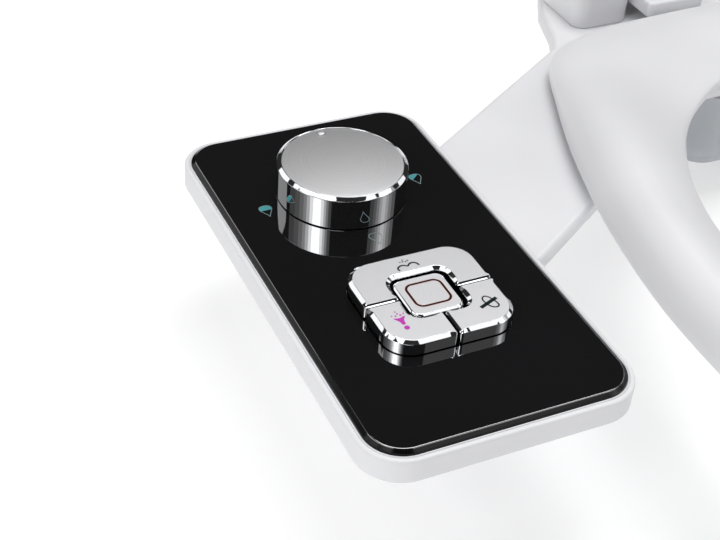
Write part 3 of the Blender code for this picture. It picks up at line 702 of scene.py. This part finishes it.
def mark(name, bodies, ink, body, base):
    """Flat ink shapes a few hundredths of a millimetre thick, on the face at a height."""
    whole = bmesh.new()
    for outline, hole in bodies:
        levels = [raised(outline, base + height) for height in (INK_LOW, INK_HIGH)]
        if hole:
            inner = [raised(hole, base + height) for height in (INK_HIGH, INK_LOW)]
            one = skin(levels + inner, closed=True)
        else:
            one = skin(levels)
        part = bpy.data.meshes.new("part")
        one.to_mesh(part)
        one.free()
        whole.from_mesh(part)
        bpy.data.meshes.remove(part)
    return piece(name, whole, ink, body, "black_plastic", crease=30.0)


def loop(points, width):
    """A closed line of a width, as its outside and its inside."""
    return inset(points, -width / 2.0), inset(points, width / 2.0)


def stroke(points, width):
    """An open line of a width, as one outline with no hole."""
    sides = [[], []]
    for i, point in enumerate(points):
        along = (points[min(i + 1, len(points) - 1)] - points[max(i - 1, 0)]).normalized()
        across = Vector((-along.y, along.x)) * width / 2.0
        sides[0].append(point - across)
        sides[1].append(point + across)
    return sides[0] + sides[1][::-1], None


def dot(x, y, radius):
    turn = [2.0 * math.pi * k / 20 for k in range(20)]
    return [Vector((x + radius * math.cos(a), y + radius * math.sin(a))) for a in turn], None


def drop(x, y, size=1.0):
    """A water drop 5.4 mm wide with its point to the front, counter-clockwise from the point."""
    half = [(0.55, -2.6), (1.75, -0.6), (2.6, 1.2), (2.35, 2.7), (1.1, 3.55)]
    knots = [(0.0, -3.8)] + half + [(-a, b) for a, b in reversed(half)]
    line = smooth_line([(a * size, b * size) for a, b in knots], 5, closed=True)
    return [Vector((x, y)) + p for p in line]


def part_filled(x, y, slope, level):
    """The part of a drop over a cut line, which has a slope and passes a level over the drop's middle."""
    return [p for p in drop(x, y, FILL_SIZE) if p.y - p.x * slope > y - x * slope + level]


def make_marks():
    # flow marks on the glass: the drop fills as the knob opens
    lines = [loop(drop(*spot), 0.3) for spot in FLOW_MARKS.values()]
    mark("flow_mark_lines", lines, ink_line, "base", GLASS_TOP)
    fills = [
        part_filled(*FLOW_MARKS["high"], 0.0, 0.4),
        part_filled(*FLOW_MARKS["middle"], 0.9, 1.0),
        drop(*FLOW_MARKS["full"], FILL_SIZE),
    ]
    mark("flow_mark_fills", [(fill, None) for fill in fills], ink_teal, "base", GLASS_TOP - 0.005)

    # stop: a rounded square line with a faint edge
    square = rectangle((-269.3, -254.7), (-190.5, -177.4), 3.0)
    mark("stop_mark", [loop(square, 0.95)], ink_red, "stop_key", STOP_TOP)
    mark("stop_mark_edge", [loop(square, 1.25)], ink_halo, "stop_key", STOP_TOP - 0.02)

    # rear wash: a double curve with fine spray over it
    curve = [(-267.0, -169.6), (-267.35, -168.5), (-266.6, -167.5), (-265.2, -166.95), (-264.0, -167.2)]
    curve += [(-262.9, -167.95), (-261.9, -167.0), (-260.3, -166.6), (-258.9, -167.5), (-258.55, -168.9)]
    spray = [(-264.8, -164.9, 0.3), (-263.7, -165.0, 0.36), (-263.4, -163.9, 0.32)]
    spray += [(-262.5, -165.2, 0.36), (-261.5, -164.7, 0.34)]
    shapes = [stroke(smooth_line(curve), 0.7)] + [dot(*s) for s in spray]
    mark("rear_wash_mark", shapes, ink_dark, "rear_wash_key", KEY_TOP)

    # front wash: a flared jet from a ball, with spray
    jet = [(-281.8, -194.3), (-279.7, -194.75), (-277.1, -194.1), (-278.35, -196.2), (-278.65, -198.3)]
    jet += [(-279.9, -198.45), (-280.35, -196.6)]
    spray = [(-281.8, -192.8, 0.34), (-280.4, -193.2, 0.4), (-279.6, -191.0, 0.34)]
    spray += [(-279.3, -192.2, 0.38), (-278.4, -193.2, 0.4), (-277.0, -192.7, 0.34)]
    shapes = [(smooth_line(jet, 4, closed=True)[::-1], None), dot(-279.2, -200.4, 1.1)]
    shapes += [dot(*s) for s in spray]
    mark("front_wash_mark", shapes, ink_magenta, "front_wash_key", KEY_TOP)

    # nozzle clean: a rod through a ring
    ring = [(-245.4, -195.6), (-245.3, -197.9), (-244.4, -200.2), (-242.9, -201.4), (-241.4, -201.2)]
    ring += [(-241.0, -199.8), (-241.7, -197.2), (-242.7, -195.2), (-244.1, -194.4)]
    bar = [Vector((-248.3, -199.9)), Vector((-240.0, -196.6))]
    shapes = [loop(smooth_line(ring, closed=True), 0.6), stroke(bar, 1.5)]
    mark("clean_mark", shapes, ink_dark, "clean_key", KEY_TOP)


# ---------------------------------------------------------------- base, seat and hinges

def make_base():
    outline = base_outline()
    shoulder = BASE_TOP - EDGE_ROUND
    profile = [(BASE_WALL, ROOF_HEIGHT), (BASE_WALL, 0.0), (0.3, 0.0), (0.0, 0.3), (0.0, shoulder)]
    profile += arc_steps(EDGE_ROUND, shoulder, 8)[1:]
    piece("arm_and_base", wrap(outline, profile), white_abs, "base", "white_abs", "base_shell")


def make_seat():
    outer = seat_outline(8)
    inner = [opening_point(p) for p in outer]
    crown = [(0.0, RING_BOTTOM), (0.0, 15.5), (0.012, 18.2), (0.05, 22.0), (0.11, 25.8), (0.2, 29.2)]
    crown += [(0.32, 31.4), (0.44, 31.95), (0.56, 31.5), (0.72, 29.6), (0.86, 26.6), (0.95, 23.9)]
    crown += [(0.99, 21.5), (1.0, 19.0), (0.995, 15.5), (0.99, RING_BOTTOM)]
    top = smooth_line(crown, 4)
    inside = [(0.93, RING_BOTTOM), (0.92, 20.0), (0.6, 28.2), (0.36, 29.0), (0.1, 20.0), (0.07, RING_BOTTOM)]
    rings = []
    for share, height in [(p.x, p.y) for p in top] + inside:
        share = min(1.0, max(0.0, share))
        rings.append([Vector((*a.lerp(b, share), lowered(height, a.y))) for a, b in zip(outer, inner)])
    piece("seat_ring_shell", skin(rings, closed=True), white_abs, "seat", "white_abs", "seat_ring_top")
    coarse = seat_outline(2)
    profile = [(0.0, 0.0), (6.2, 0.0), (7.4, 0.5), (8.2, 1.6), (8.4, 3.0), (8.4, 5.0), (7.9, 5.4)]
    profile += [(7.9, 6.2), (9.0, 6.8), (9.0, 11.4), (8.5, 11.9), (0.0, 11.9)]
    for i, k in enumerate(BUMPER_KNOTS):
        spot = coarse[k].lerp(opening_point(coarse[k]), 0.5)
        bumper = lathe(profile, spot, 64)
        piece(f"bumper_{i + 1}", bumper, rubber, "seat", "grey_rubber", f"seat_bumper_{i + 1}")


def make_hinges():
    for name, side in (("left", -1), ("right", 1)):
        outline = rectangle(sorted(side * x for x in FOOT_X), FOOT_Y, 7.0)
        profile = [(0.0, BASE_TOP + GAP), (0.0, 22.5)] + arc_steps(6.5, 22.5, 10)[1:]
        foot = add_object("hinge_block_" + name, wrap(outline, profile))
        combine(foot, rod((side * 54.0, HINGE_Y, HINGE_Z), (side * 68.0, HINGE_Y, HINGE_Z), PIN_HOLE))
        combine(foot, rod((side * BOLT_X, 0.0, 5.0), (side * BOLT_X, 0.0, 12.0), 7.3, 6))
        finish_piece(foot, [white_abs], "base", ["hinge_foot_" + name])
        make_sleeve(name, side)


def make_sleeve(name, side):
    """A round sleeve on the pin with a lug to the seat ring, with soft edges."""
    sleeve = [(0.0, 0.0), (9.0, 0.0), (9.7, 0.3), (10.0, 1.0), (10.0, 36.4), (9.7, 37.1)]
    sleeve += [(9.0, SLEEVE_LENGTH), (0.0, SLEEVE_LENGTH)]
    start = min(side * x for x in SLEEVE_X)
    turn = Matrix.Rotation(math.radians(90.0), 4, "Y")
    thing = add_object("hinge_sleeve_" + name, stand(lathe(sleeve), (start, HINGE_Y, HINGE_Z), turn))
    lug_outline = rectangle(sorted(side * x for x in LUG_X), (LUG_FRONT_Y, HINGE_Y), 2.5)
    profile = [(0.6, 14.0), (0.15, 14.2), (0.0, 14.8), (0.0, 20.5)] + arc_steps(1.5, 20.5)[1:]
    combine(thing, wrap(lug_outline, profile), "UNION")
    combine(thing, rod((side * 22.0, HINGE_Y, HINGE_Z), (side * 60.0, HINGE_Y, HINGE_Z), PIN_HOLE))
    finish_piece(thing, [white_abs], "seat", ["hinge_barrel_" + name])


# ---------------------------------------------------------------- nozzle unit

def make_nozzle_unit():
    box = rectangle((-55.0, 55.0), (-78.5, -38.0), 12.0)
    low = rectangle((-52.0, 52.0), (-77.5, -41.0), 10.0)

    def level(share, distance, height):
        return raised(inset([a.lerp(b, share) for a, b in zip(low, box)], distance), height)

    # up the inside, over the rim, and down the outside to the bottom
    rings = [level(0.3, 2.0, -34.0), level(1.0, 2.0, -28.0), level(1.0, 2.0, -0.3)]
    rings += [level(1.0, 0.2, -0.3), level(1.0, 0.0, -0.5), level(1.0, 0.0, -27.0)]
    rings += [level(0.98, 0.0, -28.6), level(0.3, 0.0, -34.0), level(0.1, 0.1, -35.3)]
    rings += [level(0.0, 0.6, -35.85), level(0.0, 1.4, -36.0)]
    shell = add_object("nozzle_case", skin(rings))
    combine(shell, wrap(rectangle((-20.0, 20.0), (-76.4, -56.0), 3.0), [(0.0, -40.0), (0.0, -30.0)]))
    finish_piece(shell, [white_abs], "base", ["nozzle_housing"])

    down = Vector((0.0, -math.sin(NOZZLE_TILT), -math.cos(NOZZLE_TILT)))
    across = Vector((0.0, -math.cos(NOZZLE_TILT), math.sin(NOZZLE_TILT)))
    turn = down.to_track_quat("Z", "Y").to_matrix().to_4x4()
    head_profile = [(0.0, 0.0), (4.3, 0.0), (NOZZLE_RADIUS, 0.2), (NOZZLE_RADIUS, 7.4), (4.3, 8.2)]
    head_profile += [(3.8, 8.75), (3.2, TIP_LENGTH), (0.0, TIP_LENGTH)]
    run = NOZZLE_LENGTH - TIP_LENGTH - GAP
    pipe_profile = [(2.4, 0.0), (4.2, 0.0), (NOZZLE_RADIUS, 0.3), (NOZZLE_RADIUS, 2.0), (4.1, 2.2)]
    pipe_profile += [(4.1, 3.2), (NOZZLE_RADIUS, 3.4), (NOZZLE_RADIUS, run - 0.2), (4.3, run), (0.0, run)]
    pipe_profile += [(0.0, run - 2.7), (2.4, run - 2.7)]
    for name, side in (("rear", 1), ("front", -1)):
        tip = NOZZLE_TIP + Vector((side * NOZZLE_X, 0.0, 0.0))
        head = stand(lathe(head_profile, steps=64), tip - down * TIP_LENGTH, turn)
        thing = add_object(f"{name}_spray_head", head)
        for back in SPRAY_HOLES:
            hole = tip - down * back
            combine(thing, rod(hole + across * 2.0, hole + across * 8.0, SPRAY_HOLE_RADIUS, 16))
        finish_piece(thing, [grey_plastic], f"{name}_nozzle", [f"nozzle_{name}_tip"])
        pipe = stand(lathe(pipe_profile, steps=64), tip - down * NOZZLE_LENGTH, turn)
        piece(f"{name}_spray_pipe", pipe, white_abs, f"{name}_nozzle", "white_abs", f"nozzle_{name}_tube")


def make_guard():
    """A thin curved flap round the front of the case, with a thicker lip below."""
    outline = rounded([(-57.5, -81.7, 14.0), (57.5, -81.7, 14.0), (57.5, -58.0, 0.6), (55.7, -58.0, 0.6),
                       (55.7, -79.9, 12.4), (-55.7, -79.9, 12.4), (-55.7, -58.0, 0.6), (-57.5, -58.0, 0.6)])
    profile = [(0.45, -40.0), (0.12, -39.85), (0.0, -39.4), (0.0, -37.2), (0.2, -36.8), (0.2, -36.4)]
    profile += [(0.2, -2.4), (0.3, -2.1), (0.5, -2.0)]
    piece("spray_guard", wrap(outline, profile), clear_plastic, "guard", "clear_plastic", "nozzle_guard")


# ---------------------------------------------------------------- fixings

def threaded(radius, root, low, high, pitch):
    """(radius, height) points of a thread drawn as rings, from low to high."""
    points = []
    z = low
    while z + pitch <= high:
        points += [(root, z), (radius, z + pitch * 0.4), (radius, z + pitch * 0.6)]
        z += pitch
    return points + [(root, z)]


def make_fixings():
    for name, side in (("left", -1), ("right", 1)):
        middle = (side * BOLT_X, 0.0)
        shank = [(0.0, -58.0), (3.0, -58.0), (3.4, -57.4)] + threaded(4.0, 3.4, -57.2, -12.0, 1.6)
        shank += [(4.0, -10.8), (4.0, 9.0), (0.0, 9.0)]
        bolt = add_object("bolt_" + name, lathe(shank, middle, 48))
        head = rod((*middle, 7.6), (*middle, 11.4), 7.0, 6)
        combine(bolt, head, "UNION")
        finish_piece(bolt, [grey_plastic], "base", ["seat_bolt_" + name])
        cone = [(4.3, -34.0), (12.4, -34.0), (13.0, -33.5), (13.0, -31.2), (12.4, -30.4), (7.5, -24.5)]
        cone += [(6.8, -24.0), (4.3, -24.0)]
        piece("cone_" + name, lathe(cone, middle, 64), rubber, "base", "grey_rubber", "bolt_cone_" + name)
        make_wing_nut(name, middle)


def make_wing_nut(name, middle):
    hub = [(4.3, -44.0), (8.4, -44.0), (9.0, -43.4), (9.0, -38.0), (9.4, -36.4), (10.0, -35.6)]
    hub += [(10.0, -34.4), (4.3, -34.4)]
    nut = add_object("nut_" + name, lathe(hub, middle, 64))
    for side in (-1, 1):
        ends = sorted(middle[0] + side * x for x in WING_X)
        # a wing is drawn flat, rounded off, then stood on its edge
        profile = [(0.8, -2.0), (0.2, -1.7), (0.0, -1.1), (0.0, 1.1), (0.2, 1.7), (0.8, 2.0)]
        wing = wrap(rectangle(ends, WING_Z, 4.0), profile)
        bmesh.ops.rotate(wing, matrix=Matrix.Rotation(math.radians(90.0), 3, "X"), verts=wing.verts)
        combine(nut, wing, "UNION")
    finish_piece(nut, [grey_plastic], "base", ["wing_nut_" + name])


def make_screws():
    spots = {"base_screw_1": (-165.0, -70.0, 0.0), "base_screw_2": (88.0, -45.0, 0.0)}
    corners = [(x, y) for x in (PANEL_X[0] + 12.0, PANEL_X[1] - 12.0) for y in (-240.0, -62.0)]
    spots.update({f"panel_screw_{i + 1}": (*p, PANEL_BOTTOM) for i, p in enumerate(corners)})
    for name, (x, y, low) in spots.items():
        top = 4.6 if low == 0.0 else 4.4
        shank = [(0.0, low + 0.1), (2.1, low + 0.1), (2.45, low + 0.22), (2.5, low + 0.45), (1.2, low + 0.8)]
        shank += threaded(1.2, 0.9, low + 1.6, top - 0.6, 0.7) + [(0.0, top)]
        thing = add_object(name.replace("screw", "fixing"), lathe(shank, (x, y), 40))
        for long, wide in ((1.5, 0.3), (0.3, 1.5)):
            slot_box = rectangle((x - long, x + long), (y - wide, y + wide), 0.1, 2)
            combine(thing, wrap(slot_box, [(0.0, low - 1.0), (0.0, low + 0.42)]))
        finish_piece(thing, [steel], "base", [name])


def make_ports():
    port = [(7.0, 1.2), (4.6, 1.2), (4.6, -14.0), (5.0, -14.4), (7.9, -14.4), (8.1, -14.1)]
    port += threaded(8.8, 8.1, -14.0, -5.6, 1.4)
    port += [(8.2, -5.3), (9.6, -5.0), (9.8, -4.8), (9.8, -2.8), (9.6, -2.6), (7.0, -2.6)]
    piece("inlet_port", lathe(port, INLET, 72), white_abs, "base", "white_abs", "water_inlet_port")
    gland = [(5.0, 1.2), (3.2, 1.2), (3.2, -8.7), (3.5, -9.0), (4.4, -9.0), (4.6, -8.8)]
    for k in range(4):
        low = -8.4 + 1.3 * k
        wide = 4.9 + 0.4 * k
        gland += [(wide, low), (wide, low + 0.6), (wide - 0.5, low + 0.7), (wide - 0.4, low + 1.2)]
    gland += [(6.3, -3.0), (6.3, -2.6), (5.0, -2.6)]
    piece("cord_gland", lathe(gland, GLAND, 64), black_plastic, "base", "black_plastic", "power_gland")


# ---------------------------------------------------------------- carried-over parts

def paint_nodes():
    """Give the CAD nodes that stay the material of their slot."""
    paints = {
        "base_bottom_cover": white_abs,
        "panel_bottom_cover": white_abs,
        "seat_ring_base": grey_plastic,
        "seat_heater": heater_film,
        "grip_pad": rubber,
        "link_plate": steel,
        "rear_wash_tube": clear_plastic,
        "front_wash_tube": clear_plastic,
        "ribbon_cable": grey_cable,
        "inlet_filter": steel,
        "glass_gasket": black_plastic,
        "valve_shaft": black_plastic,
        "flow_valve_body": white_abs,
        "key_guide_plate": black_plastic,
        "circuit_board": board,
        "switch_sheet": rubber,
        "nozzle_cradle": grey_plastic,
        "solenoid_valve_left": brass,
        "solenoid_valve_right": brass,
        "hinge_pin_left": steel,
        "hinge_pin_right": steel,
    }
    for name, material in paints.items():
        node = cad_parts[name]
        for k in range(len(node.material_slots)):
            node.material_slots[k].material = material


# ---------------------------------------------------------------- camera, floor and light

def make_camera():
    data = bpy.data.cameras.new("camera")
    data.lens = LENS
    data.sensor_width = SENSOR_WIDTH
    data.clip_start = 0.01
    camera = bpy.data.objects.new("camera", data)
    camera.location = CAMERA_PLACE
    camera.rotation_euler = [math.radians(angle) for angle in CAMERA_TURN]
    bpy.context.scene.collection.objects.link(camera)
    bpy.context.scene.camera = camera


def make_floor():
    bm = bmesh.new()
    bmesh.ops.create_grid(bm, x_segments=1, y_segments=1, size=FLOOR_HALF_WIDTH)
    bmesh.ops.translate(bm, vec=(0.0, 0.0, FLOOR_Z), verts=bm.verts)
    floor = add_object("floor", bm)
    pale = new_material("pale_floor", "D4D4D4", 0.9)
    shader = pale.node_tree.nodes["Principled BSDF"]
    shader.inputs["Specular IOR Level"].default_value = 0.0
    shader.inputs["Emission Color"].default_value = colour("FFFFFF")
    shader.inputs["Emission Strength"].default_value = 0.45
    floor.data.materials.append(pale)


def soft_light(name, azimuth, elevation, distance, width, height, radiance):
    """A rectangular soft box aimed at the panel and arm; azimuth from +X towards +Y, in degrees."""
    data = bpy.data.lights.new(name, "AREA")
    data.shape = "RECTANGLE"
    data.size = width
    data.size_y = height
    data.energy = radiance * math.pi * width * height
    light = bpy.data.objects.new(name, data)
    turn, rise = math.radians(azimuth), math.radians(elevation)
    away = Vector((math.cos(rise) * math.cos(turn), math.cos(rise) * math.sin(turn), math.sin(rise)))
    light.location = LIGHT_TARGET + away * distance
    light.rotation_euler = away.to_track_quat("Z", "Y").to_euler()
    bpy.context.scene.collection.objects.link(light)


def bank(name, elevation, distance, strips):
    """Upright strips side by side, each given as (azimuth, width in degrees, radiance)."""
    for k, (azimuth, width, radiance) in enumerate(strips):
        wide = 2.0 * distance * math.cos(math.radians(elevation)) * math.tan(math.radians(width / 2.0))
        soft_light(f"{name}_{k + 1}", azimuth, elevation, distance, wide, BANK_HEIGHT, radiance)


def make_light():
    world = bpy.data.worlds.new("studio")
    world.use_nodes = True
    world.node_tree.nodes["Background"].inputs["Color"].default_value = (1.0, 1.0, 1.0, 1.0)
    world.node_tree.nodes["Background"].inputs["Strength"].default_value = 0.03
    bpy.context.scene.world = world
    bpy.context.scene.view_settings.view_transform = "Standard"
    # each upright bank is a row of strips, brightest inside, so that its edges fade in the chrome
    key = [(152.0, 12.0, 0.25), (163.0, 10.0, 0.4), (172.0, 8.0, 0.7), (179.0, 6.0, 1.2), (185.0, 6.0, 2.4)]
    key += [(191.0, 6.0, 4.6), (201.0, 14.0, 7.0), (210.5, 5.0, 4.6), (215.0, 4.0, 2.4), (219.0, 4.0, 1.0)]
    key += [(223.5, 5.0, 0.3)]
    bank("key", 35.0, 1.5, key)
    fill = [(300.0, 8.0, 0.25), (307.0, 6.0, 0.5), (313.0, 6.0, 1.0), (319.0, 6.0, 1.8), (326.0, 8.0, 2.6)]
    fill += [(333.5, 7.0, 1.8), (341.0, 8.0, 1.0), (350.0, 10.0, 0.5)]
    bank("fill", 35.0, 1.6, fill)
    # soft boxes out of the flat glass's view, for the bevels and the upward faces
    soft_light("rear_top", 38.0, 62.5, 1.5, 1.05, 0.36, 6.2)
    soft_light("overhead", 64.0, 82.0, 1.6, 1.0, 0.5, 6.4)
    soft_light("near_low", 236.0, 13.0, 1.6, 0.8, 0.34, 6.0)
    soft_light("left_low", 120.0, 28.0, 1.5, 0.75, 0.42, 1.3)
    soft_light("left_mid", 138.0, 45.0, 1.5, 0.5, 0.2, 1.4)
    soft_light("left_high", 154.0, 53.0, 1.5, 0.7, 0.32, 1.5)
    soft_light("near_high", 193.0, 65.0, 1.5, 0.6, 0.34, 1.8)
    soft_light("near_rim", 243.0, 52.0, 1.5, 0.6, 0.14, 1.5)
    soft_light("right_near", 309.0, 57.0, 1.5, 0.46, 0.3, 1.4)
    soft_light("right_high", 338.0, 48.0, 1.5, 0.6, 0.3, 1.5)
    soft_light("right_low", 8.0, 26.0, 1.5, 0.7, 0.3, 1.2)


def main():
    make_camera()
    make_floor()
    make_light()
    make_panel()
    make_glass()
    make_knob()
    make_keys()
    make_marks()
    make_base()
    make_seat()
    make_hinges()
    make_nozzle_unit()
    make_guard()
    make_fixings()
    make_screws()
    make_ports()
    paint_nodes()


main()
